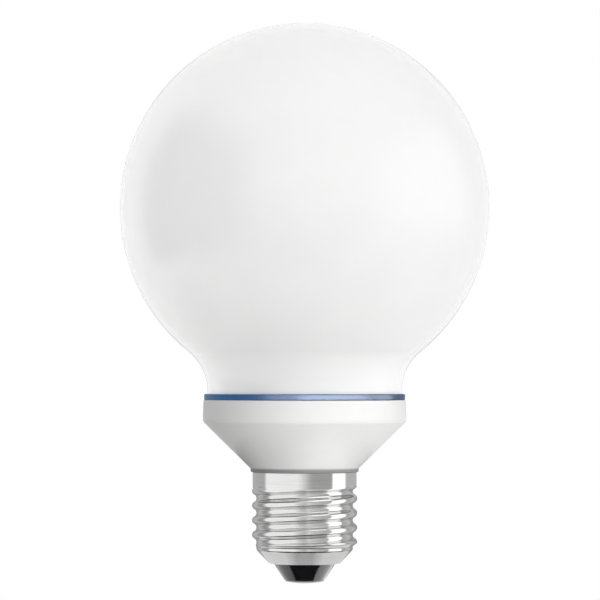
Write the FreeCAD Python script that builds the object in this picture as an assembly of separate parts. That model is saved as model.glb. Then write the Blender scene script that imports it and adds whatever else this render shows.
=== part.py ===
"""Globe bulb with an E27 screw cap: an opal glass globe, a blue ring and a white ballast housing.

Millimetres. The lamp's axis is Z and the globe is up. The origin is on the axis, in the plane where
the screw shell's top rim meets the housing, so all that goes into a lampholder is below zero.
The bulb is sealed and opaque, so the globe and the housing are filled solids.
"""

import FreeCAD
import Part

import math
import os

from FreeCAD import Vector

# Glass globe
GLOBE_DIAMETER = 92.0
NECK_DIAMETER = 48.4
NECK_FLARE_RADIUS = 12.5  # hollow curve between the sphere and the neck
NECK_SHOWING = 0.75  # straight glass above the ring
NECK_DEPTH = 3.0  # straight glass below the ring, inside the housing
NECK_EDGE_RADIUS = 0.6

# Ring between the globe and the housing
RING_WIDTH = 0.7
RING_HEIGHT = 1.5
RING_EDGE_RADIUS = 0.25

# Ballast housing, from its lower lip up
LIP_OVERHANG = 0.5  # beyond the screw shell's skirt
LIP_HEIGHT = 0.9
LIP_CORNER_RADIUS = 0.3
CONE_HEIGHT = 11.7
BAND_HEIGHT = 5.3
BAND_DRAFT_DEG = 1.5
BAND_CORNER_RADIUS = 1.6
RIM_WIDTH = 0.9  # wall around the neck, at the band's top
RIM_EDGE_RADIUS = 0.25
SPIGOT_GAP = 2.0  # between the plug that carries the screw shell and the insulator

# Screw shell, one pressing with a rolled E27 thread
SHELL_LENGTH = 22.75
SHELL_WALL = 0.35
THREAD_DIAMETER = 26.2
THREAD_DEPTH = 1.1
THREAD_PITCH = 3.629
SKIRT_INSET = 0.15  # the skirt lies this far inside the thread's crests
SKIRT_LENGTH = 3.4
FIRST_GROOVE_DEPTH = 4.72  # from the top rim to the first groove's middle, on the +X side
THREAD_RUN = 1.3  # height over which the thread fades in and out
COLLAR_HEIGHT = 0.6  # plain wall between the thread and the shoulder
SHOULDER_HEIGHT = 3.4
SHOULDER_FOOT_DIAMETER = 17.4
SHOULDER_CORNER_RADIUS = 0.9
MOUTH_RIM_WIDTH = 1.0  # flat rim around the hole that the insulator comes out of

# Black glass insulator
INSULATOR_SEAT_HEIGHT = 2.4  # glass inside the shoulder
INSULATOR_HEIGHT = 4.1  # glass below the shell
INSULATOR_TIP_DIAMETER = 10.0
INSULATOR_EDGE_RADIUS = 0.3

# Centre contact, a domed button on an eyelet
CONTACT_MARGIN = 0.2  # insulator showing around the contact
CONTACT_EDGE = 0.25
CONTACT_DOME = 0.55
EYELET_DIAMETER = 3.0
EYELET_LENGTH = 5.0

# Fits
NECK_CLEARANCE = 0.1
SPIGOT_CLEARANCE = 0.1
GLASS_CLEARANCE = 0.05

# Control points of the thread's surface, and how closely it meets the plain walls
STEPS_PER_TURN = 36
STEPS_PER_PITCH = 16
SEAM_TOLERANCE = 0.001
OVERCUT = 1.0

# Heights of the seats, all from the screw shell's top rim
CONE_TOP = LIP_HEIGHT + CONE_HEIGHT
BAND_TOP = CONE_TOP + BAND_HEIGHT
RING_TOP = BAND_TOP + RING_HEIGHT
NECK_FOOT = BAND_TOP - NECK_DEPTH
THREAD_TOP = -SKIRT_LENGTH
SHOULDER_TOP = SHOULDER_HEIGHT - SHELL_LENGTH
THREAD_FOOT = SHOULDER_TOP + COLLAR_HEIGHT
INSULATOR_FOOT = SHELL_WALL + GLASS_CLEARANCE - SHELL_LENGTH
INSULATOR_TOP = INSULATOR_FOOT + INSULATOR_SEAT_HEIGHT
CONTACT_SEAT = -SHELL_LENGTH - INSULATOR_HEIGHT

# Radii that more than one piece uses
NECK_RADIUS = NECK_DIAMETER / 2
NECK_SOCKET_RADIUS = NECK_RADIUS + NECK_CLEARANCE
CREST_RADIUS = THREAD_DIAMETER / 2
ROOT_RADIUS = CREST_RADIUS - THREAD_DEPTH
SKIRT_RADIUS = CREST_RADIUS - SKIRT_INSET
SHOULDER_FOOT_RADIUS = SHOULDER_FOOT_DIAMETER / 2
MOUTH_RADIUS = SHOULDER_FOOT_RADIUS - MOUTH_RIM_WIDTH
EYELET_RADIUS = EYELET_DIAMETER / 2


def at(radius, height):
    """A point of a turned profile."""
    return Vector(radius, 0, height)


def rounded_corner(before, corner, after, radius):
    """Where the arc of that radius leaves the two lines of a corner, and its middle point."""
    to_before = (before - corner).normalize()
    to_after = (after - corner).normalize()
    half_angle = to_before.getAngle(to_after) / 2
    reach = radius / math.tan(half_angle)
    bisector = (to_before + to_after).normalize()
    middle = corner + bisector * (radius / math.sin(half_angle) - radius)
    return corner + to_before * reach, middle, corner + to_after * reach


def profile(corners):
    """A closed wire through (radius, height, corner radius) corners, rounded ones as tangent arcs."""
    points = [at(radius, height) for radius, height, _ in corners]
    edges = []
    starts = []
    ends = []
    for index, (_, _, corner_radius) in enumerate(corners):
        point = points[index]
        if corner_radius > 0:
            before = points[index - 1]
            after = points[(index + 1) % len(points)]
            start, middle, end = rounded_corner(before, point, after, corner_radius)
            edges.append(Part.Arc(start, middle, end).toShape())
        else:
            start = end = point
        starts.append(start)
        ends.append(end)
    for index in range(len(points)):
        edges.append(Part.makeLine(ends[index], starts[(index + 1) % len(points)]))
    return Part.Wire(Part.sortEdges(edges)[0])


def turned(shape):
    """What a profile sweeps out in one turn about the lamp's axis."""
    return shape.revolve(Vector(0, 0, 0), Vector(0, 0, 1), 360)


def turned_solid(corners):
    return turned(Part.Face(profile(corners)))


def globe():
    """The blown globe: a sphere that flares into a straight neck."""
    radius = GLOBE_DIAMETER / 2
    flare_centre_radius = NECK_RADIUS + NECK_FLARE_RADIUS
    flare_end = RING_TOP + NECK_SHOWING
    centre_distance = radius + NECK_FLARE_RADIUS
    centre = flare_end + math.sqrt(centre_distance**2 - flare_centre_radius**2)
    tangent_angle = math.acos(flare_centre_radius / centre_distance)

    def on_sphere(angle):
        return at(radius * math.cos(angle), centre + radius * math.sin(angle))

    def on_flare(angle):
        return at(
            flare_centre_radius - NECK_FLARE_RADIUS * math.cos(angle),
            flare_end + NECK_FLARE_RADIUS * math.sin(angle),
        )

    top = at(0, centre + radius)
    tangent = on_sphere(-tangent_angle)
    neck_top = at(NECK_RADIUS, flare_end)
    edge_start, edge_middle, edge_end = rounded_corner(
        neck_top, at(NECK_RADIUS, NECK_FOOT), at(0, NECK_FOOT), NECK_EDGE_RADIUS
    )
    edges = [
        Part.Arc(top, on_sphere(0), tangent).toShape(),
        Part.Arc(tangent, on_flare(tangent_angle / 2), neck_top).toShape(),
        Part.makeLine(neck_top, edge_start),
        Part.Arc(edge_start, edge_middle, edge_end).toShape(),
        Part.makeLine(edge_end, at(0, NECK_FOOT)),
        Part.makeLine(at(0, NECK_FOOT), top),
    ]
    return turned(Part.Face(Part.Wire(edges)))


def collar_ring():
    """The blue ring that lies on the housing's rim, around the neck."""
    outer = NECK_SOCKET_RADIUS + RING_WIDTH
    return turned_solid(
        [
            (NECK_SOCKET_RADIUS, BAND_TOP, 0),
            (outer, BAND_TOP, RING_EDGE_RADIUS),
            (outer, RING_TOP, RING_EDGE_RADIUS),
            (NECK_SOCKET_RADIUS, RING_TOP, 0),
        ]
    )


def ballast_housing():
    """The moulded housing: lip, cone and drafted band outside, neck socket above and spigot below."""
    lip = SKIRT_RADIUS + LIP_OVERHANG
    rim = NECK_SOCKET_RADIUS + RIM_WIDTH
    band = rim + BAND_HEIGHT * math.tan(math.radians(BAND_DRAFT_DEG))
    upper_spigot = SKIRT_RADIUS - SHELL_WALL - SPIGOT_CLEARANCE
    lower_spigot = ROOT_RADIUS - SHELL_WALL - SPIGOT_CLEARANCE
    step = THREAD_TOP + SPIGOT_CLEARANCE
    spigot_foot = INSULATOR_TOP + SPIGOT_GAP
    return turned_solid(
        [
            (0, NECK_FOOT, 0),
            (NECK_SOCKET_RADIUS, NECK_FOOT, 0),
            (NECK_SOCKET_RADIUS, BAND_TOP, 0),
            (rim, BAND_TOP, RIM_EDGE_RADIUS),
            (band, CONE_TOP, BAND_CORNER_RADIUS),
            (lip, LIP_HEIGHT, LIP_CORNER_RADIUS),
            (lip, 0, LIP_CORNER_RADIUS),
            (upper_spigot, 0, 0),
            (upper_spigot, step, 0),
            (lower_spigot, step, 0),
            (lower_spigot, spigot_foot, 0),
            (0, spigot_foot, 0),
        ]
    )


def fade(share):
    """A smooth step from 0 to 1."""
    share = min(max(share, 0.0), 1.0)
    return share * share * (3 - 2 * share)


def groove_depth(from_middle):
    """Depth of the thread's groove at a height from its middle: two equal arcs, hollow then round."""
    quarter = THREAD_PITCH / 4
    arc_radius = (quarter**2 + (THREAD_DEPTH / 2) ** 2) / THREAD_DEPTH
    if abs(from_middle) < quarter:
        return THREAD_DEPTH - arc_radius + math.sqrt(arc_radius**2 - from_middle**2)
    from_crest = 2 * quarter - abs(from_middle)
    return arc_radius - math.sqrt(arc_radius**2 - from_crest**2)


def thread_radius(turn, height):
    """Outer radius of the threaded wall, at a share of a turn from +X and a height."""
    turns_up = (height + FIRST_GROOVE_DEPTH) / THREAD_PITCH - turn
    from_middle = (turns_up - round(turns_up)) * THREAD_PITCH
    rise = fade((THREAD_TOP - height) / THREAD_RUN)
    settle = fade((height - THREAD_FOOT) / THREAD_RUN)
    crest = SKIRT_RADIUS + rise * (CREST_RADIUS - SKIRT_RADIUS)
    threaded = crest - rise * groove_depth(from_middle)
    return ROOT_RADIUS + settle * (threaded - ROOT_RADIUS)


def thread_face():
    """The threaded wall's outer surface: one smooth spline surface, closed around the axis."""
    rows = math.ceil((THREAD_TOP - THREAD_FOOT) / THREAD_PITCH * STEPS_PER_PITCH)
    pull_in = (2 + math.cos(2 * math.pi / STEPS_PER_TURN)) / 3  # a cubic spline runs inside its points
    net = []
    for step in range(STEPS_PER_TURN):
        turn = step / STEPS_PER_TURN
        angle = 2 * math.pi * turn
        line = []
        for row in range(rows + 1):
            height = THREAD_TOP + (THREAD_FOOT - THREAD_TOP) * row / rows
            radius = thread_radius(turn, height) / pull_in
            line.append(Vector(radius * math.cos(angle), radius * math.sin(angle), height))
        net.append(line)
    around = list(range(STEPS_PER_TURN + 1))
    along = list(range(rows - 1))
    surface = Part.BSplineSurface()
    surface.buildFromPolesMultsKnots(
        net, [1] * len(around), [4] + [1] * (rows - 3) + [4], around, along, True, False, 3, 3
    )
    return surface.toShape()


def shoulder_angle():
    """The shoulder's slope from the axis."""
    return math.atan2(ROOT_RADIUS - SHOULDER_FOOT_RADIUS, SHOULDER_HEIGHT)


def shoulder_corners(inset):
    """The shoulder's upper and lower corner, on a profile that lies inside the outer one by an inset."""
    angle = shoulder_angle()
    upper = at(ROOT_RADIUS - inset, SHOULDER_TOP + inset * math.tan(angle / 2))
    lower = at(
        SHOULDER_FOOT_RADIUS - inset * math.tan((math.pi / 2 - angle) / 2),
        inset - SHELL_LENGTH,
    )
    return upper, lower


def thread_plug():
    """The threaded length as a full round bar, closed by a disc at each end."""
    side = thread_face()
    discs = [Part.Face(Part.Wire(edge)) for edge in side.Edges if edge.isClosed()]
    skin = Part.makeCompound([side] + discs)
    skin.sewShape()
    return Part.Solid(skin.Shells[0])


def screw_shell():
    """The pressed shell: plain skirt, rolled thread, and a shoulder turned in around the insulator."""
    outer_upper, outer_lower = shoulder_corners(0)
    inner_upper, inner_lower = shoulder_corners(SHELL_WALL)
    inner_corner_radius = SHOULDER_CORNER_RADIUS - SHELL_WALL
    inner_skirt = SKIRT_RADIUS - SHELL_WALL
    skirt = turned_solid(
        [
            (0, 0, 0),
            (SKIRT_RADIUS, 0, 0),
            (SKIRT_RADIUS, THREAD_TOP, 0),
            (0, THREAD_TOP, 0),
        ]
    )
    shoulder = turned_solid(
        [
            (0, THREAD_FOOT, 0),
            (ROOT_RADIUS, THREAD_FOOT, 0),
            (outer_upper.x, outer_upper.z, SHOULDER_CORNER_RADIUS),
            (outer_lower.x, outer_lower.z, SHOULDER_CORNER_RADIUS),
            (0, -SHELL_LENGTH, 0),
        ]
    )
    hollow = turned_solid(
        [
            (0, OVERCUT, 0),
            (inner_skirt, OVERCUT, 0),
            (inner_skirt, THREAD_TOP, 0),
            (inner_upper.x, THREAD_TOP, 0),
            (inner_upper.x, inner_upper.z, inner_corner_radius),
            (inner_lower.x, inner_lower.z, inner_corner_radius),
            (MOUTH_RADIUS, inner_lower.z, 0),
            (MOUTH_RADIUS, -SHELL_LENGTH - OVERCUT, 0),
            (0, -SHELL_LENGTH - OVERCUT, 0),
        ]
    )
    bar = thread_plug().multiFuse([skirt, shoulder], SEAM_TOLERANCE)
    return bar.cut(hollow).Solids[0]


def cap_insulator():
    """The black glass: a body held inside the shoulder, and the cone that shows below it."""
    _, foot = shoulder_corners(SHELL_WALL + GLASS_CLEARANCE)
    top_radius = foot.x + INSULATOR_SEAT_HEIGHT * math.tan(shoulder_angle())
    throat = MOUTH_RADIUS - GLASS_CLEARANCE
    bore = EYELET_RADIUS + GLASS_CLEARANCE
    return turned_solid(
        [
            (bore, INSULATOR_TOP, 0),
            (top_radius, INSULATOR_TOP, 0),
            (foot.x, INSULATOR_FOOT, SHOULDER_CORNER_RADIUS - SHELL_WALL),
            (throat, INSULATOR_FOOT, 0),
            (throat, -SHELL_LENGTH, 0),
            (INSULATOR_TIP_DIAMETER / 2, CONTACT_SEAT, INSULATOR_EDGE_RADIUS),
            (bore, CONTACT_SEAT, 0),
        ]
    )


def centre_contact():
    """The contact: a thin domed button whose eyelet goes up through the insulator."""
    rim = INSULATOR_TIP_DIAMETER / 2 - CONTACT_MARGIN
    edge = CONTACT_SEAT - CONTACT_EDGE
    tip = edge - CONTACT_DOME
    dome_radius = (rim**2 + CONTACT_DOME**2) / (2 * CONTACT_DOME)
    half_turn = math.asin(rim / dome_radius) / 2
    dome_middle = at(
        dome_radius * math.sin(half_turn),
        tip + dome_radius * (1 - math.cos(half_turn)),
    )
    eyelet_top = CONTACT_SEAT + EYELET_LENGTH
    edges = [
        Part.makeLine(at(0, tip), at(0, eyelet_top)),
        Part.makeLine(at(0, eyelet_top), at(EYELET_RADIUS, eyelet_top)),
        Part.makeLine(at(EYELET_RADIUS, eyelet_top), at(EYELET_RADIUS, CONTACT_SEAT)),
        Part.makeLine(at(EYELET_RADIUS, CONTACT_SEAT), at(rim, CONTACT_SEAT)),
        Part.makeLine(at(rim, CONTACT_SEAT), at(rim, edge)),
        Part.Arc(at(rim, edge), dome_middle, at(0, tip)).toShape(),
    ]
    return turned(Part.Face(Part.Wire(edges)))


PIECES = {
    "globe": globe,
    "collar_ring": collar_ring,
    "ballast_housing": ballast_housing,
    "screw_shell": screw_shell,
    "cap_insulator": cap_insulator,
    "centre_contact": centre_contact,
}

os.makedirs("parts", exist_ok=True)
for name, make in PIECES.items():
    piece = make()
    piece.exportStep(f"parts/{name}.step")
    box = piece.BoundBox
    print(
        f"{name}: valid {piece.isValid()}, solids {len(piece.Solids)}, volume {piece.Volume:.1f} mm3,"
        f" diameter {box.XLength:.2f}, from {box.ZMin:.2f} to {box.ZMax:.2f}"
    )
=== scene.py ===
"""Looks of the globe bulb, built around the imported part: fine turned meshes, materials, studio and camera.

The lamp's sizes are millimetres in the part's own frame, turned into metres where a mesh is made. The
materials' heights and the studio's sizes are metres.
"""

import math

import bpy
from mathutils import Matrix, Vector


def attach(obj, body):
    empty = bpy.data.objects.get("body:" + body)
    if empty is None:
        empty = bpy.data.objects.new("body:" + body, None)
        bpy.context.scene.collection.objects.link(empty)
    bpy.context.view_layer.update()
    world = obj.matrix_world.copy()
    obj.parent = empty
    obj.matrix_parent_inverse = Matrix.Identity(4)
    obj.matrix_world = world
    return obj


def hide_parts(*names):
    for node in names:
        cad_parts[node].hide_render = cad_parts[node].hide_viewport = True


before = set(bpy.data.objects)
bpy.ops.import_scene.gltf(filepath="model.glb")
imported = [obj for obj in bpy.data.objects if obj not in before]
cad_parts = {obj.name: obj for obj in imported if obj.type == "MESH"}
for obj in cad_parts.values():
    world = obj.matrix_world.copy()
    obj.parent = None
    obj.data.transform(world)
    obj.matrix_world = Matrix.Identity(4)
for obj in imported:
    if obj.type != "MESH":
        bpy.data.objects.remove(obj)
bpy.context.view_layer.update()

MM = 0.001

# Glass globe
GLOBE_RADIUS = 46.0
NECK_RADIUS = 24.2
NECK_FLARE_RADIUS = 12.5
NECK_SHOWING = 0.75
NECK_FOOT = 14.9
NECK_EDGE_RADIUS = 0.6

# Ring between the globe and the housing
RING_INNER_RADIUS = 24.3
RING_RADIUS = 25.0
RING_FOOT = 17.9
RING_TOP = 19.4
RING_EDGE_RADIUS = 0.25

# Ballast housing
LIP_RADIUS = 13.45
LIP_HEIGHT = 0.9
LIP_CORNER_RADIUS = 0.3
CONE_TOP = 12.6
BAND_RADIUS = 25.339
BAND_CORNER_RADIUS = 1.6
RIM_RADIUS = 25.2
RIM_EDGE_RADIUS = 0.25
SPIGOT_RADIUS = 12.5
SPIGOT_STEP = -3.3
LOWER_SPIGOT_RADIUS = 11.55
SPIGOT_FOOT = -17.95

# Screw shell
SKIRT_RADIUS = 12.95
SHELL_WALL = 0.35
CREST_RADIUS = 13.1
ROOT_RADIUS = 12.0
THREAD_DEPTH = 1.1
THREAD_PITCH = 3.629
THREAD_TOP = -3.4
THREAD_FOOT = -18.75
THREAD_RUN = 1.3
FIRST_GROOVE_DEPTH = 4.72
SHOULDER_TOP = -19.35
SHELL_FOOT = -22.75
SHOULDER_FOOT_RADIUS = 8.7
SHOULDER_CORNER_RADIUS = 0.9
MOUTH_RADIUS = 7.7

# Insulator and centre contact
INSULATOR_TOP = -19.95
INSULATOR_FOOT = -22.35
INSULATOR_TOP_RADIUS = 10.86
INSULATOR_FOOT_RADIUS = 8.531
INSULATOR_FOOT_ROUNDING = 0.55
THROAT_RADIUS = 7.65
INSULATOR_TIP_RADIUS = 5.0
INSULATOR_EDGE_RADIUS = 0.3
INSULATOR_BORE = 1.55
CONTACT_SEAT = -26.85
CONTACT_RADIUS = 4.8
CONTACT_EDGE = -27.1
CONTACT_TIP = -27.65
EYELET_RADIUS = 1.5
EYELET_TOP = -21.85

# Mesh fineness
TURN_STEPS = 192
THREAD_TURN_STEPS = 288
THREAD_ROW = 0.16
ARC_STEP = math.radians(9)
RUN_STEP = 1.4
EDGE_BREAK = 0.1  # rounding of edges that the part's source leaves sharp
SAME_PLACE = 1e-4  # stations nearer than this are one
TOUCHING = 1e-6  # slack when a radius or height is compared with another
SLOPE_NUDGE = 0.002  # half the span over which the thread's slope is taken

# Materials: darkest and palest colour of each, where its noise has these values
NOISE_SPAN = (0.3, 0.7)
OPAL_TONES = ((0.90, 0.90, 0.895), (0.93, 0.93, 0.925))
BLUE_TONES = ((0.024, 0.075, 0.18), (0.030, 0.090, 0.205))
WHITE_TONES = ((0.85, 0.85, 0.845), (0.88, 0.88, 0.875))
NICKEL_TONES = ((0.675, 0.675, 0.672), (0.745, 0.745, 0.742))
BLACK_TONES = ((0.004, 0.004, 0.005), (0.009, 0.009, 0.010))
CONTACT_TONES = ((0.56, 0.55, 0.52), (0.68, 0.67, 0.64))

# Opal glass: how far light spreads in the globe, in metres, and its share from the neck up to the sphere
GLOW_REACH = 0.25
GLOW_HEIGHTS = (0.020, 0.048)
GLOW_SHARES = (0.1, 0.85)

# Housing: painted shade along the seam above the screw shell, where it meets the shell; its colour darkens
# towards the foot, by height in metres
PAINTED_SHADE_HEIGHTS = (0.0006, 0.0013)
PAINTED_SHADE_LEVELS = (0.3, 1.0)

# Camera, for a square picture
EYE = (-1.15, -880.0, 22.9)
AIM = (-1.15, 0.0, 42.8)
SENSOR_WIDTH = 36.0
LENS = 212.0

# Studio: azimuth from the camera's side towards +X and elevation in degrees; each set of pieces has its own
# lamps, at the radiances given for it
TARGET = (0, 0, 0.045)
LAMPS = {
    "right_front": {"azimuth": 40, "elevation": 12, "reach": 0.9, "size": (0.7, 0.7)},
    "front_fill": {"azimuth": 0, "elevation": 8, "reach": 1.3, "size": (0.9, 0.9)},
    "back_fill": {"azimuth": 180, "elevation": 8, "reach": 1.3, "size": (0.9, 0.9)},
    "low_right": {"azimuth": 55, "elevation": -24, "reach": 0.42, "size": (0.47, 0.056)},
    "right_back": {"azimuth": 120, "elevation": 15, "reach": 0.8, "size": (0.6, 0.7)},
    "left_front": {"azimuth": -45, "elevation": 8, "reach": 0.9, "size": (0.6, 0.6)},
    "side_left": {"azimuth": -110, "elevation": 5, "reach": 0.9, "size": (0.5, 0.5)},
    "top": {"azimuth": 0, "elevation": 80, "reach": 0.9, "size": (0.9, 0.9)},
    "under_right": {"azimuth": 80, "elevation": -42, "reach": 0.26, "size": (0.4, 0.2)},
    "under_left": {"azimuth": -80, "elevation": -42, "reach": 0.26, "size": (0.4, 0.2)},
}
GLOBE_PIECES = ("globe_glass",)
GLOBE_LIGHT = {
    "right_front": 2.1, "front_fill": 1.65, "right_back": 0.65, "left_front": 0.3, "side_left": 4.0,
    "top": 1.4, "under_right": 1.65, "under_left": 1.0,
}
RING_PIECES = ("blue_ring",)
RING_LIGHT = {"left_front": 6.5, "back_fill": 3.0}
BODY_PIECES = ("housing", "cap_shell", "cap_glass", "contact_button")
BODY_LIGHT = {"front_fill": 3.25, "left_front": 0.15, "low_right": 12.0, "back_fill": 3.0}
FLOOR_PIECES = ("floor",)
FLOOR_LIGHT = {"top": 3.8}
AMBIENT = 0.28

# Soft boards that only reflections see; their levels fade into the white studio's 1 towards their edges
CARDS = {
    "key_card": {"azimuth": 78, "heights": (-0.1, 0.62), "reach": 0.75, "width": 1.2,
                 "level": 1.4, "soft": 0.25},
    "dim_left": {"azimuth": -75, "heights": (-0.5, 0.75), "reach": 0.55, "width": 1.25,
                 "level": 0.2, "soft": 0.6},
    "outline": {"azimuth": 180, "heights": (-0.08, 0.26), "reach": 0.6, "width": 0.34,
                "level": 0.4, "soft": 0.3},
}
CARD_STEPS = 24

# Tent round the cap that only reflections see: (azimuth, level) stops round it at each range of height
TENT_RADIUS = 0.022
TENT_STEP = 1
SKIRT_RANGE = (0.0003, -0.004)
SKIRT_LEVELS = (
    (-180, 0.55), (-72, 0.52), (-69, 1.14), (-10, 1.12), (0, 0.8), (6, 0.6), (11, 0.46), (25, 0.43),
    (45, 0.43), (47, 1.5), (74, 1.5), (76, 0.6), (180, 0.5),
)
THREAD_RANGE = (-0.004, -0.027)
THREAD_LEVELS = (
    (-180, 0.6), (-130, 0.35), (-105, 0.6), (-84, 0.35), (-74, 0.5), (-69, 1.12), (-18, 1.1), (-8, 0.75),
    (0, 0.62), (7, 0.85), (14, 0.72), (28, 0.6), (43, 0.55), (45, 1.5), (74, 1.5), (77, 0.45), (100, 0.65),
    (120, 0.35), (180, 0.6),
)
EDGE_RANGE = (-0.027, -0.033)
EDGE_LEVELS = ((-180, 0.8), (-100, 0.8), (-85, 0.08), (85, 0.08), (100, 0.8), (180, 0.8))
UNDER_RANGE = (-0.033, -0.065)
UNDER_LEVELS = ((-180, 0.8), (-76, 0.8), (-68, 0.03), (66, 0.03), (72, 0.8), (180, 0.8))
TENT_ROOF_RADIUS = 0.0142
TENT_ROOF_LEVELS = ((-180, 0.2), (-20, 0.2), (3, 0.9), (15, 1.4), (42, 1.4), (50, 0.3), (180, 0.2))
TENT_FLOOR_RADII = (0.019, 0.012)
TENT_FLOOR_LEVELS = ((-180, 0.7), (-60, 0.7), (-35, 0.05), (35, 0.05), (60, 0.7), (180, 0.7))
TENT_MIDDLE_LEVEL = 0.5

# Glints: lamps that shine only on one piece, and only in its gloss
GLASS_MIDDLE = (0, 0, -0.025)
RING_MIDDLE = (0, 0, 0.0187)
GLINTS = {
    "glass_right": {"piece": "cap_glass", "azimuth": 122, "elevation": -36, "reach": 0.02,
                    "size": (0.03, 0.024), "around": GLASS_MIDDLE, "radiance": 1.9},
    "glass_left": {"piece": "cap_glass", "azimuth": -122, "elevation": -36, "reach": 0.02,
                   "size": (0.03, 0.024), "around": GLASS_MIDDLE, "radiance": 0.7},
    "ring_left": {"piece": "blue_ring", "azimuth": -22, "elevation": 0, "reach": 0.4,
                  "size": (0.3, 0.3), "around": RING_MIDDLE, "radiance": 10.0},
    "ring_front": {"piece": "blue_ring", "azimuth": 32, "elevation": 0, "reach": 0.4,
                   "size": (0.6, 0.3), "around": RING_MIDDLE, "radiance": 28.0},
    "ring_right": {"piece": "blue_ring", "azimuth": 90, "elevation": 0, "reach": 0.4,
                   "size": (0.36, 0.3), "around": RING_MIDDLE, "radiance": 14.0},
}

FLOOR_HEIGHT = -0.16
FLOOR_RADIUS = 0.9
FLOOR_CENTRE = (-0.1, -0.3)
FLOOR_FADE = (0.3, 0.6)
FLOOR_STEPS = 96
FLOOR_COLOUR = (0.85, 0.85, 0.85, 1)
FLOOR_ROUGHNESS = 0.9


# Meshes


def straight(start, end):
    """Stations (radius, height, outward radial, outward up) along a straight run, both ends included."""
    length = math.hypot(end[0] - start[0], end[1] - start[1])
    steps = max(1, math.ceil(length / RUN_STEP))
    outward = ((end[1] - start[1]) / length, (start[0] - end[0]) / length)
    stations = []
    for step in range(steps + 1):
        share = step / steps
        stations.append(
            (start[0] + share * (end[0] - start[0]), start[1] + share * (end[1] - start[1]), *outward)
        )
    return stations


def arc(centre, radius, start, end, hollow=False):
    """Stations along an arc between two angles of the profile's plane."""
    steps = max(2, math.ceil(abs(end - start) / ARC_STEP), math.ceil(radius * abs(end - start) / RUN_STEP))
    sense = -1 if hollow else 1
    stations = []
    for step in range(steps + 1):
        angle = start + (end - start) * step / steps
        across, up = math.cos(angle), math.sin(angle)
        stations.append((centre[0] + radius * across, centre[1] + radius * up, sense * across, sense * up))
    return stations


def joined(*runs):
    """Runs of stations as one, without the double stations where they meet."""
    stations = []
    for run in runs:
        for station in run:
            if not stations or math.dist(stations[-1][:2], station[:2]) > SAME_PLACE:
                stations.append(station)
    return stations


def rounded(corners, closed):
    """Stations along a profile of (radius, height, rounding) corners, with the piece on its left."""
    count = len(corners)
    legs = []
    for index, (across, up, rounding) in enumerate(corners):
        here = Vector((across, up))
        if rounding == 0:
            legs.append((here, here, []))
            continue
        to_before = (Vector(corners[index - 1][:2]) - here).normalized()
        to_after = (Vector(corners[(index + 1) % count][:2]) - here).normalized()
        half_angle = to_before.angle(to_after) / 2
        reach = rounding / math.tan(half_angle)
        centre = here + (to_before + to_after).normalized() * (rounding / math.sin(half_angle))
        start = here + to_before * reach
        end = here + to_after * reach
        first = math.atan2(start.y - centre.y, start.x - centre.x)
        turn = math.atan2(end.y - centre.y, end.x - centre.x) - first
        turn = (turn + math.pi) % (2 * math.pi) - math.pi
        legs.append((start, end, arc(centre, rounding, first, first + turn, hollow=turn < 0)))
    runs = []
    for index, (_, end, corner) in enumerate(legs):
        runs.append(corner)
        if closed or index < count - 1:
            runs.append(straight(end, legs[(index + 1) % count][0]))
    stations = joined(*runs)
    if closed and math.dist(stations[0][:2], stations[-1][:2]) < SAME_PLACE:
        stations.pop()
    return stations


def turned_row(station, turn_steps):
    """One ring of (place, outward) vertices, or a single one on the axis."""
    across, up, outward_across, outward_up = station
    if across < TOUCHING:
        return [(Vector((0, 0, up)), Vector((0, 0, math.copysign(1, outward_up))))]
    row = []
    for step in range(turn_steps):
        angle = 2 * math.pi * step / turn_steps
        along = Vector((math.cos(angle), math.sin(angle), 0))
        place = along * across + Vector((0, 0, up))
        row.append((place, along * outward_across + Vector((0, 0, outward_up))))
    return row


def skin(name, rows, closed, material, node):
    """A mesh piece through rings of vertices, shaded by their true normals, that stands for a CAD node."""
    firsts = []
    places = []
    outwards = []
    for row in rows:
        firsts.append(len(places))
        places.extend(place * MM for place, _ in row)
        outwards.extend(outward.normalized() for _, outward in row)
    faces = []
    pairs = list(zip(range(len(rows) - 1), range(1, len(rows))))
    if closed:
        pairs.append((len(rows) - 1, 0))
    for low, high in pairs:
        steps = max(len(rows[low]), len(rows[high]))
        for step in range(steps):
            after = (step + 1) % steps
            if len(rows[low]) == 1:
                faces.append((firsts[low], firsts[high] + after, firsts[high] + step))
            elif len(rows[high]) == 1:
                faces.append((firsts[low] + step, firsts[low] + after, firsts[high]))
            else:
                faces.append(
                    (firsts[low] + step, firsts[low] + after, firsts[high] + after, firsts[high] + step)
                )
    mesh = bpy.data.meshes.new(name)
    mesh.from_pydata(places, [], faces)
    mesh.shade_smooth()
    mesh.normals_split_custom_set_from_vertices(outwards)
    mesh.materials.append(material)
    piece = bpy.data.objects.new(name, mesh)
    bpy.context.scene.collection.objects.link(piece)
    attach(piece, "root")
    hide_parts(node)
    return piece


def turned(name, stations, closed, material, node):
    """A turned piece from the stations of its profile."""
    rows = [turned_row(station, TURN_STEPS) for station in stations]
    return skin(name, rows, closed, material, node)


# Pieces


def globe_stations():
    """The globe from the neck's foot to its top: straight neck, hollow flare, sphere."""
    flare_end = RING_TOP + NECK_SHOWING
    flare_centre = (NECK_RADIUS + NECK_FLARE_RADIUS, flare_end)
    centre_distance = GLOBE_RADIUS + NECK_FLARE_RADIUS
    tangent_angle = math.acos(flare_centre[0] / centre_distance)
    sphere_centre = (0, flare_end + centre_distance * math.sin(tangent_angle))
    foot = [(0, NECK_FOOT, 0), (NECK_RADIUS, NECK_FOOT, NECK_EDGE_RADIUS), (NECK_RADIUS, flare_end, 0)]
    return joined(
        rounded(foot, closed=False),
        arc(flare_centre, NECK_FLARE_RADIUS, math.pi, math.pi - tangent_angle, hollow=True),
        arc(sphere_centre, GLOBE_RADIUS, -tangent_angle, math.pi / 2),
    )


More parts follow.
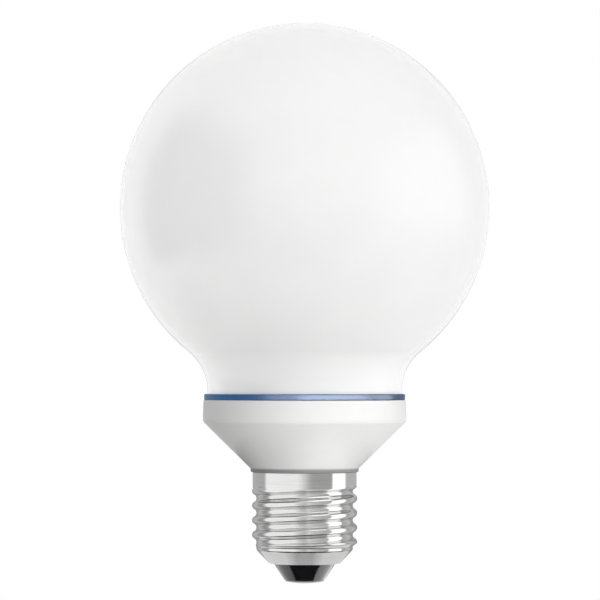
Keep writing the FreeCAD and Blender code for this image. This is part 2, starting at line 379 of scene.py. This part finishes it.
def ring_stations():
    return rounded(
        [
            (RING_INNER_RADIUS, RING_FOOT, EDGE_BREAK),
            (RING_RADIUS, RING_FOOT, RING_EDGE_RADIUS),
            (RING_RADIUS, RING_TOP, RING_EDGE_RADIUS),
            (RING_INNER_RADIUS, RING_TOP, EDGE_BREAK),
        ],
        closed=True,
    )


def housing_stations():
    """The housing from the spigot's foot, out over lip, cone and band, and down into the neck's socket."""
    return rounded(
        [
            (0, SPIGOT_FOOT, 0),
            (LOWER_SPIGOT_RADIUS, SPIGOT_FOOT, EDGE_BREAK),
            (LOWER_SPIGOT_RADIUS, SPIGOT_STEP, EDGE_BREAK),
            (SPIGOT_RADIUS, SPIGOT_STEP, EDGE_BREAK),
            (SPIGOT_RADIUS, 0, EDGE_BREAK),
            (LIP_RADIUS, 0, LIP_CORNER_RADIUS),
            (LIP_RADIUS, LIP_HEIGHT, LIP_CORNER_RADIUS),
            (BAND_RADIUS, CONE_TOP, BAND_CORNER_RADIUS),
            (RIM_RADIUS, RING_FOOT, RIM_EDGE_RADIUS),
            (RING_INNER_RADIUS, RING_FOOT, EDGE_BREAK),
            (RING_INNER_RADIUS, NECK_FOOT, EDGE_BREAK),
            (0, NECK_FOOT, 0),
        ],
        closed=False,
    )


def fade(share):
    """A smooth step from 0 to 1."""
    share = min(max(share, 0.0), 1.0)
    return share * share * (3 - 2 * share)


def groove_depth(from_middle):
    """Depth of the thread's groove at a height from its middle: two equal arcs, hollow then round."""
    quarter = THREAD_PITCH / 4
    arc_radius = (quarter**2 + (THREAD_DEPTH / 2) ** 2) / THREAD_DEPTH
    if abs(from_middle) < quarter:
        return THREAD_DEPTH - arc_radius + math.sqrt(arc_radius**2 - from_middle**2)
    from_crest = 2 * quarter - abs(from_middle)
    return arc_radius - math.sqrt(arc_radius**2 - from_crest**2)


def thread_radius(turn, height):
    """Outer radius of the threaded wall, at a share of a turn from +X and a height."""
    turns_up = (height + FIRST_GROOVE_DEPTH) / THREAD_PITCH - turn
    from_middle = (turns_up - round(turns_up)) * THREAD_PITCH
    rise = fade((THREAD_TOP - height) / THREAD_RUN)
    settle = fade((height - THREAD_FOOT) / THREAD_RUN)
    crest = SKIRT_RADIUS + rise * (CREST_RADIUS - SKIRT_RADIUS)
    threaded = crest - rise * groove_depth(from_middle)
    return ROOT_RADIUS + settle * (threaded - ROOT_RADIUS)


def thread_row(height):
    """One ring of the threaded wall, with the normals of its helical surface."""
    nudge = SLOPE_NUDGE
    row = []
    for step in range(THREAD_TURN_STEPS):
        turn = step / THREAD_TURN_STEPS
        angle = 2 * math.pi * turn
        radius = thread_radius(turn, height)
        slope_up = (thread_radius(turn, height + nudge) - thread_radius(turn, height - nudge)) / (2 * nudge)
        turn_nudge = nudge / (2 * math.pi * radius)
        slope_round = (
            thread_radius(turn + turn_nudge, height) - thread_radius(turn - turn_nudge, height)
        ) / (2 * nudge)
        along = Vector((math.cos(angle), math.sin(angle), 0))
        around = Vector((-math.sin(angle), math.cos(angle), 0))
        place = along * radius + Vector((0, 0, height))
        row.append((place, along - around * slope_round - Vector((0, 0, slope_up))))
    return row


def shell_rows():
    """The pressed shell: mouth rim, shoulder, thread and skirt outside, then down the plain bore."""
    slope = math.atan2(ROOT_RADIUS - SHOULDER_FOOT_RADIUS, SHOULDER_TOP - SHELL_FOOT)
    inner_upper = (ROOT_RADIUS - SHELL_WALL, SHOULDER_TOP + SHELL_WALL * math.tan(slope / 2))
    inner_lower = (
        SHOULDER_FOOT_RADIUS - SHELL_WALL * math.tan((math.pi / 2 - slope) / 2),
        SHELL_FOOT + SHELL_WALL,
    )
    inner_skirt = SKIRT_RADIUS - SHELL_WALL
    inner_rounding = SHOULDER_CORNER_RADIUS - SHELL_WALL
    profile = rounded(
        [
            (MOUTH_RADIUS, SHELL_FOOT, EDGE_BREAK),
            (SHOULDER_FOOT_RADIUS, SHELL_FOOT, SHOULDER_CORNER_RADIUS),
            (ROOT_RADIUS, SHOULDER_TOP, SHOULDER_CORNER_RADIUS),
            (ROOT_RADIUS, THREAD_FOOT, 0),
            (SKIRT_RADIUS, THREAD_TOP, 0),
            (SKIRT_RADIUS, 0, EDGE_BREAK),
            (inner_skirt, 0, EDGE_BREAK),
            (inner_skirt, THREAD_TOP, EDGE_BREAK),
            (inner_upper[0], THREAD_TOP, EDGE_BREAK),
            (*inner_upper, inner_rounding),
            (*inner_lower, inner_rounding),
            (MOUTH_RADIUS, inner_lower[1], EDGE_BREAK),
        ],
        closed=True,
    )
    steps = math.ceil((THREAD_TOP - THREAD_FOOT) / THREAD_ROW)
    heights = [THREAD_FOOT + (THREAD_TOP - THREAD_FOOT) * step / steps for step in range(steps + 1)]
    thread = [thread_row(height) for height in heights]
    outer = ROOT_RADIUS - TOUCHING
    on_outer_wall = [index for index, station in enumerate(profile) if station[0] > outer]
    below = [s for s in profile[: on_outer_wall[-1] + 1] if s[1] < THREAD_FOOT - TOUCHING]
    start = profile.index(below[-1]) + 1
    above = [s for s in profile[start:] if not (s[1] < THREAD_TOP + TOUCHING and s[0] > outer)]
    return (
        [turned_row(station, THREAD_TURN_STEPS) for station in below]
        + thread
        + [turned_row(station, THREAD_TURN_STEPS) for station in above]
    )


def insulator_stations():
    return rounded(
        [
            (INSULATOR_BORE, CONTACT_SEAT, EDGE_BREAK),
            (INSULATOR_TIP_RADIUS, CONTACT_SEAT, INSULATOR_EDGE_RADIUS),
            (THROAT_RADIUS, SHELL_FOOT, EDGE_BREAK),
            (THROAT_RADIUS, INSULATOR_FOOT, EDGE_BREAK),
            (INSULATOR_FOOT_RADIUS, INSULATOR_FOOT, INSULATOR_FOOT_ROUNDING),
            (INSULATOR_TOP_RADIUS, INSULATOR_TOP, EDGE_BREAK),
            (INSULATOR_BORE, INSULATOR_TOP, EDGE_BREAK),
        ],
        closed=True,
    )


def contact_stations():
    """The contact from its domed tip, over its edge, up the eyelet."""
    rise = CONTACT_EDGE - CONTACT_TIP
    dome_radius = (CONTACT_RADIUS**2 + rise**2) / (2 * rise)
    half_turn = math.asin(CONTACT_RADIUS / dome_radius)
    top = [
        (CONTACT_RADIUS, CONTACT_EDGE, 0),
        (CONTACT_RADIUS, CONTACT_SEAT, EDGE_BREAK),
        (EYELET_RADIUS, CONTACT_SEAT, EDGE_BREAK),
        (EYELET_RADIUS, EYELET_TOP, EDGE_BREAK),
        (0, EYELET_TOP, 0),
    ]
    return joined(
        arc((0, CONTACT_TIP + dome_radius), dome_radius, -math.pi / 2, -math.pi / 2 + half_turn),
        rounded(top, closed=False),
    )


# Materials


class Surface:
    """A node material in the making: a Principled shader, and object coordinates to drive its detail."""

    def __init__(self, name):
        self.material = bpy.data.materials.new(name)
        self.material.use_nodes = True
        self.tree = self.material.node_tree
        self.shader = self.tree.nodes["Principled BSDF"]
        self.place = self.tree.nodes.new("ShaderNodeTexCoord").outputs["Object"]

    def set(self, **values):
        """Constant values, on the shader's own sockets."""
        for socket, value in values.items():
            self.shader.inputs[socket.replace("_", " ")].default_value = value

    def link(self, output, socket):
        self.tree.links.new(output, self.shader.inputs[socket])

    def stretched(self, scale):
        """Object coordinates scaled along the three axes."""
        mapping = self.tree.nodes.new("ShaderNodeMapping")
        mapping.inputs["Scale"].default_value = scale
        self.tree.links.new(self.place, mapping.inputs["Vector"])
        return mapping.outputs["Vector"]

    def noise(self, scale, detail=2.0, coordinates=None):
        node = self.tree.nodes.new("ShaderNodeTexNoise")
        node.inputs["Scale"].default_value = scale
        node.inputs["Detail"].default_value = detail
        self.tree.links.new(coordinates or self.place, node.inputs["Vector"])
        return node.outputs["Fac"]

    def ramp(self, factor, *stops):
        """A colour ramp with (position, grey level or colour) stops."""
        node = self.tree.nodes.new("ShaderNodeValToRGB")
        elements = node.color_ramp.elements
        while len(elements) < len(stops):
            elements.new(0.5)
        for element, (position, colour) in zip(elements, stops):
            element.position = position
            element.color = (*colour, 1) if isinstance(colour, tuple) else (colour, colour, colour, 1)
        self.tree.links.new(factor, node.inputs["Fac"])
        return node.outputs["Color"]

    def between(self, factor, low, high):
        """Grey levels or colours from one to another over the usual span of a noise."""
        return self.ramp(factor, (NOISE_SPAN[0], low), (NOISE_SPAN[1], high))

    def rising(self, heights, values):
        """A value that goes smoothly from one to another between two heights in metres."""
        split = self.tree.nodes.new("ShaderNodeSeparateXYZ")
        self.tree.links.new(self.place, split.inputs["Vector"])
        node = self.tree.nodes.new("ShaderNodeMapRange")
        node.interpolation_type = "SMOOTHSTEP"
        node.inputs["From Min"].default_value, node.inputs["From Max"].default_value = heights
        node.inputs["To Min"].default_value, node.inputs["To Max"].default_value = values
        self.tree.links.new(split.outputs["Z"], node.inputs["Value"])
        return node.outputs["Result"]

    def shaded(self, colour, factor):
        """A colour times a factor that varies over the surface."""
        node = self.tree.nodes.new("ShaderNodeMix")
        node.data_type = "RGBA"
        node.blend_type = "MULTIPLY"
        node.inputs["Factor"].default_value = 1.0
        self.tree.links.new(colour, node.inputs["A"])
        self.tree.links.new(factor, node.inputs["B"])
        return node.outputs["Result"]

    def bumps(self, *layers):
        """Bump nodes in a chain, from (height output, depth in millimetres) layers."""
        normal = None
        for height, depth in layers:
            node = self.tree.nodes.new("ShaderNodeBump")
            node.inputs["Distance"].default_value = depth * MM
            self.tree.links.new(height, node.inputs["Height"])
            if normal:
                self.tree.links.new(normal, node.inputs["Normal"])
            normal = node.outputs["Normal"]
        self.link(normal, "Normal")


def opal_glass():
    surface = Surface("opal_glass")
    surface.set(Subsurface_Radius=(1, 1, 1), Subsurface_Scale=GLOW_REACH, IOR=1.5)
    surface.set(Coat_Weight=1.0, Coat_Roughness=0.2, Coat_IOR=1.5)
    surface.link(surface.rising(GLOW_HEIGHTS, GLOW_SHARES), "Subsurface Weight")
    cloud = surface.noise(45, detail=3)
    surface.link(surface.between(cloud, *OPAL_TONES), "Base Color")
    surface.link(surface.between(surface.noise(160, detail=4), 0.18, 0.26), "Roughness")
    surface.bumps((surface.noise(28), 0.12), (surface.noise(900, detail=3), 0.002))
    return surface.material


def blue_plastic():
    surface = Surface("blue_plastic")
    surface.set(Coat_Weight=0.4, Coat_Roughness=0.3, Coat_IOR=1.5, Specular_IOR_Level=0.0)
    mottle = surface.noise(420, detail=4)
    surface.link(surface.between(mottle, *BLUE_TONES), "Base Color")
    surface.link(surface.between(surface.noise(900), 0.3, 0.4), "Roughness")
    surface.bumps((surface.noise(2500, detail=3), 0.004))
    return surface.material


def white_plastic():
    surface = Surface("white_plastic")
    surface.set(Subsurface_Weight=0.15, Subsurface_Radius=(1, 1, 1), Subsurface_Scale=0.0015)
    cloud = surface.noise(130, detail=4)
    white = surface.between(cloud, *WHITE_TONES)
    # painted shade: the white darkened near the housing's foot, where it meets the screw shell
    surface.link(surface.shaded(white, surface.rising(PAINTED_SHADE_HEIGHTS, PAINTED_SHADE_LEVELS)), "Base Color")
    surface.link(surface.between(surface.noise(700, detail=3), 0.34, 0.44), "Roughness")
    surface.bumps((surface.noise(60), 0.03), (surface.noise(3800, detail=2), 0.003))
    return surface.material


def nickel_plate():
    surface = Surface("nickel_plate")
    surface.set(Metallic=1.0)
    streaks = surface.noise(70, detail=5, coordinates=surface.stretched((1, 1, 26)))
    surface.link(surface.between(streaks, *NICKEL_TONES), "Base Color")
    surface.link(surface.ramp(surface.noise(260, detail=5), (0.3, 0.09), (0.75, 0.19)), "Roughness")
    surface.bumps((surface.noise(190), 0.02), (streaks, 0.004), (surface.noise(4200), 0.0015))
    return surface.material


def black_glass():
    surface = Surface("black_glass")
    surface.set(IOR=1.52)
    cloud = surface.noise(380, detail=3)
    surface.link(surface.between(cloud, *BLACK_TONES), "Base Color")
    surface.link(surface.between(surface.noise(800, detail=4), 0.06, 0.14), "Roughness")
    surface.bumps((surface.noise(260), 0.03), (surface.noise(2600), 0.002))
    return surface.material


def contact_metal():
    surface = Surface("contact_metal")
    surface.set(Metallic=1.0)
    patches = surface.noise(520, detail=5)
    surface.link(surface.between(patches, *CONTACT_TONES), "Base Color")
    surface.link(surface.between(surface.noise(1200, detail=4), 0.24, 0.46), "Roughness")
    surface.bumps((surface.noise(700, detail=3), 0.03), (surface.noise(4200), 0.004))
    return surface.material


# Studio


def direction(azimuth, elevation):
    """A unit vector from the object, azimuth from the camera's side towards +X."""
    round_angle = math.radians(azimuth)
    up_angle = math.radians(elevation)
    return Vector(
        (
            math.sin(round_angle) * math.cos(up_angle),
            -math.cos(round_angle) * math.cos(up_angle),
            math.sin(up_angle),
        )
    )


def add_lamp(name, pieces, radiance, azimuth, elevation, reach, size, around=TARGET):
    """A rectangular area lamp that faces the object, lights the named pieces and isn't seen itself."""
    light = bpy.data.lights.new(name, "AREA")
    light.shape = "RECTANGLE"
    light.size, light.size_y = size
    light.energy = radiance * math.pi * size[0] * size[1]
    lamp = bpy.data.objects.new(name, light)
    towards = direction(azimuth, elevation)
    lamp.location = Vector(around) + towards * reach
    lamp.rotation_euler = towards.to_track_quat("Z", "Y").to_euler()
    lamp.visible_camera = False
    bpy.context.scene.collection.objects.link(lamp)
    lit = bpy.data.collections.new(name)
    for piece in pieces:
        lit.objects.link(bpy.data.objects[piece])
    lamp.light_linking.receiver_collection = lit
    return lamp


def add_soft_lamp(name, pieces, radiance):
    """A lamp that lights pieces and that no reflection shows."""
    lamp = add_lamp(name, pieces, radiance, **LAMPS[name])
    lamp.visible_glossy = False


def add_glint(name, piece, **facts):
    """A lamp that one piece mirrors and that lights nothing."""
    lamp = add_lamp(name, (piece,), **facts)
    lamp.visible_diffuse = False
    lamp.visible_transmission = False


def glow_material():
    """Light of the level that each point of a board has."""
    material = bpy.data.materials.new("glow")
    material.use_nodes = True
    tree = material.node_tree
    tree.nodes.clear()
    level = tree.nodes.new("ShaderNodeAttribute")
    level.attribute_name = "level"
    emission = tree.nodes.new("ShaderNodeEmission")
    tree.links.new(level.outputs["Fac"], emission.inputs["Strength"])
    output = tree.nodes.new("ShaderNodeOutputMaterial")
    tree.links.new(emission.outputs["Emission"], output.inputs["Surface"])
    return material


def add_board(name, rows, material):
    """A board through equal rows of (place, level) points that only reflections see."""
    width = len(rows[0])
    faces = []
    for low in range(len(rows) - 1):
        for step in range(width - 1):
            corner = low * width + step
            faces.append((corner, corner + 1, corner + width + 1, corner + width))
    points = [point for row in rows for point in row]
    mesh = bpy.data.meshes.new(name)
    mesh.from_pydata([place for place, _ in points], [], faces)
    mesh.attributes.new("level", "FLOAT", "POINT").data.foreach_set("value", [level for _, level in points])
    mesh.materials.append(material)
    board = bpy.data.objects.new(name, mesh)
    board.visible_camera = False
    board.visible_diffuse = False
    board.visible_transmission = False
    board.visible_shadow = False
    bpy.context.scene.collection.objects.link(board)


def card_rows(azimuth, heights, reach, width, level, soft):
    """An upright flat board whose level fades to white over a share of its half width and height."""
    towards = direction(azimuth, 0)
    sideways = Vector((-towards.y, towards.x, 0))
    rows = []
    for row_step in range(CARD_STEPS + 1):
        up_share = row_step / CARD_STEPS
        up = heights[0] + up_share * (heights[1] - heights[0])
        up_fade = fade((1 - abs(2 * up_share - 1)) / soft)
        row = []
        for step in range(CARD_STEPS + 1):
            share = 2 * step / CARD_STEPS - 1
            depth = up_fade * fade((1 - abs(share)) / soft)
            place = towards * reach + sideways * (share * width / 2) + Vector((0, 0, up))
            row.append((place, 1 + depth * (level - 1)))
        rows.append(row)
    return rows


def level_at(stops, azimuth):
    """The level between (azimuth, level) stops."""
    for (start, first), (end, last) in zip(stops, stops[1:]):
        if azimuth <= end:
            return first + (last - first) * (azimuth - start) / (end - start)
    return stops[-1][1]


def even(level):
    """Stops of one level all round."""
    return ((-180, level), (180, level))


def tent_rows():
    """A tube round the cap with its own levels at each range of height, between a roof and a floor."""
    rings = [
        (TENT_ROOF_RADIUS, SKIRT_RANGE[0], TENT_ROOF_LEVELS),
        (TENT_RADIUS, SKIRT_RANGE[0], TENT_ROOF_LEVELS),
    ]
    for heights, stops in (
        (SKIRT_RANGE, SKIRT_LEVELS),
        (THREAD_RANGE, THREAD_LEVELS),
        (EDGE_RANGE, EDGE_LEVELS),
        (UNDER_RANGE, UNDER_LEVELS),
    ):
        rings += [(TENT_RADIUS, height, stops) for height in heights]
    bottom = UNDER_RANGE[1]
    rings += [
        (TENT_RADIUS, bottom, TENT_FLOOR_LEVELS),
        (TENT_FLOOR_RADII[0], bottom, TENT_FLOOR_LEVELS),
        (TENT_FLOOR_RADII[1], bottom, even(TENT_MIDDLE_LEVEL)),
        (0, bottom, even(TENT_MIDDLE_LEVEL)),
    ]
    rows = []
    for radius, height, stops in rings:
        row = []
        for azimuth in range(-180, 180 + TENT_STEP, TENT_STEP):
            place = direction(azimuth, 0) * radius + Vector((0, 0, height))
            row.append((place, level_at(stops, azimuth)))
        rows.append(row)
    return rows


def seen_directly(tree):
    """1 for camera, glossy and transmission rays, 0 for the rest."""
    path = tree.nodes.new("ShaderNodeLightPath")
    largest = path.outputs["Is Camera Ray"]
    for name in ("Is Glossy Ray", "Is Transmission Ray"):
        node = tree.nodes.new("ShaderNodeMath")
        node.operation = "MAXIMUM"
        tree.links.new(largest, node.inputs[0])
        tree.links.new(path.outputs[name], node.inputs[1])
        largest = node.outputs["Value"]
    return largest


def white_world():
    """White wherever it is seen, and a low even light on the object."""
    world = bpy.data.worlds.new("studio")
    bpy.context.scene.world = world
    world.use_nodes = True
    tree = world.node_tree
    tree.nodes.clear()
    background = tree.nodes.new("ShaderNodeBackground")
    level = tree.nodes.new("ShaderNodeMapRange")
    level.inputs["To Min"].default_value = AMBIENT
    tree.links.new(seen_directly(tree), level.inputs["Value"])
    background.inputs["Color"].default_value = (1, 1, 1, 1)
    tree.links.new(level.outputs["Result"], background.inputs["Strength"])
    output = tree.nodes.new("ShaderNodeOutputWorld")
    tree.links.new(background.outputs["Background"], output.inputs["Surface"])


def pale_floor():
    """A pale floor below the lamp that keeps its shadow and fades into the white around it."""
    rim = []
    for step in range(FLOOR_STEPS):
        angle = 2 * math.pi * step / FLOOR_STEPS
        rim.append(
            (
                FLOOR_CENTRE[0] + FLOOR_RADIUS * math.cos(angle),
                FLOOR_CENTRE[1] + FLOOR_RADIUS * math.sin(angle),
                FLOOR_HEIGHT,
            )
        )
    mesh = bpy.data.meshes.new("floor")
    mesh.from_pydata(rim, [], [tuple(range(FLOOR_STEPS))])
    material = bpy.data.materials.new("floor")
    material.use_nodes = True
    tree = material.node_tree
    diffuse = tree.nodes["Principled BSDF"]
    diffuse.inputs["Roughness"].default_value = FLOOR_ROUGHNESS
    diffuse.inputs["Base Color"].default_value = FLOOR_COLOUR
    place = tree.nodes.new("ShaderNodeTexCoord")
    length = tree.nodes.new("ShaderNodeVectorMath")
    length.operation = "LENGTH"
    shift = tree.nodes.new("ShaderNodeMapping")
    shift.inputs["Location"].default_value = (-FLOOR_CENTRE[0], -FLOOR_CENTRE[1], -FLOOR_HEIGHT)
    tree.links.new(place.outputs["Object"], shift.inputs["Vector"])
    tree.links.new(shift.outputs["Vector"], length.inputs[0])
    fade_out = tree.nodes.new("ShaderNodeMapRange")
    fade_out.interpolation_type = "SMOOTHSTEP"
    fade_out.inputs["From Min"].default_value, fade_out.inputs["From Max"].default_value = FLOOR_FADE
    tree.links.new(length.outputs["Value"], fade_out.inputs["Value"])
    share = tree.nodes.new("ShaderNodeMath")
    share.operation = "MULTIPLY"
    tree.links.new(fade_out.outputs["Result"], share.inputs[0])
    tree.links.new(seen_directly(tree), share.inputs[1])
    white = tree.nodes.new("ShaderNodeEmission")
    mix = tree.nodes.new("ShaderNodeMixShader")
    tree.links.new(share.outputs["Value"], mix.inputs["Fac"])
    tree.links.new(diffuse.outputs["BSDF"], mix.inputs[1])
    tree.links.new(white.outputs["Emission"], mix.inputs[2])
    tree.links.new(mix.outputs["Shader"], tree.nodes["Material Output"].inputs["Surface"])
    mesh.materials.append(material)
    floor = bpy.data.objects.new("floor", mesh)
    floor.visible_diffuse = False
    bpy.context.scene.collection.objects.link(floor)


def add_camera():
    camera_data = bpy.data.cameras.new("camera")
    camera_data.sensor_width = SENSOR_WIDTH
    camera_data.lens = LENS
    camera = bpy.data.objects.new("camera", camera_data)
    camera.location = Vector(EYE) * MM
    camera.rotation_euler = (Vector(AIM) - Vector(EYE)).to_track_quat("-Z", "Y").to_euler()
    bpy.context.scene.collection.objects.link(camera)
    bpy.context.scene.camera = camera


# Scene

turned("globe_glass", globe_stations(), False, opal_glass(), "globe")
turned("blue_ring", ring_stations(), True, blue_plastic(), "collar_ring")
turned("housing", housing_stations(), False, white_plastic(), "ballast_housing")
skin("cap_shell", shell_rows(), True, nickel_plate(), "screw_shell")
turned("cap_glass", insulator_stations(), True, black_glass(), "cap_insulator")
turned("contact_button", contact_stations(), False, contact_metal(), "centre_contact")

white_world()
pale_floor()
for lit_pieces, light_levels in (
    (GLOBE_PIECES, GLOBE_LIGHT),
    (RING_PIECES, RING_LIGHT),
    (BODY_PIECES, BODY_LIGHT),
    (FLOOR_PIECES, FLOOR_LIGHT),
):
    for lamp_name, lamp_radiance in light_levels.items():
        add_soft_lamp(lamp_name, lit_pieces, lamp_radiance)
for glint_name, glint_facts in GLINTS.items():
    add_glint(glint_name, **glint_facts)
glow = glow_material()
for card_name, card_facts in CARDS.items():
    add_board(card_name, card_rows(**card_facts), glow)
add_board("cap_tent", tent_rows(), glow)
add_camera()
bpy.context.scene.view_settings.view_transform = "Standard"

bpy.context.view_layer.update()
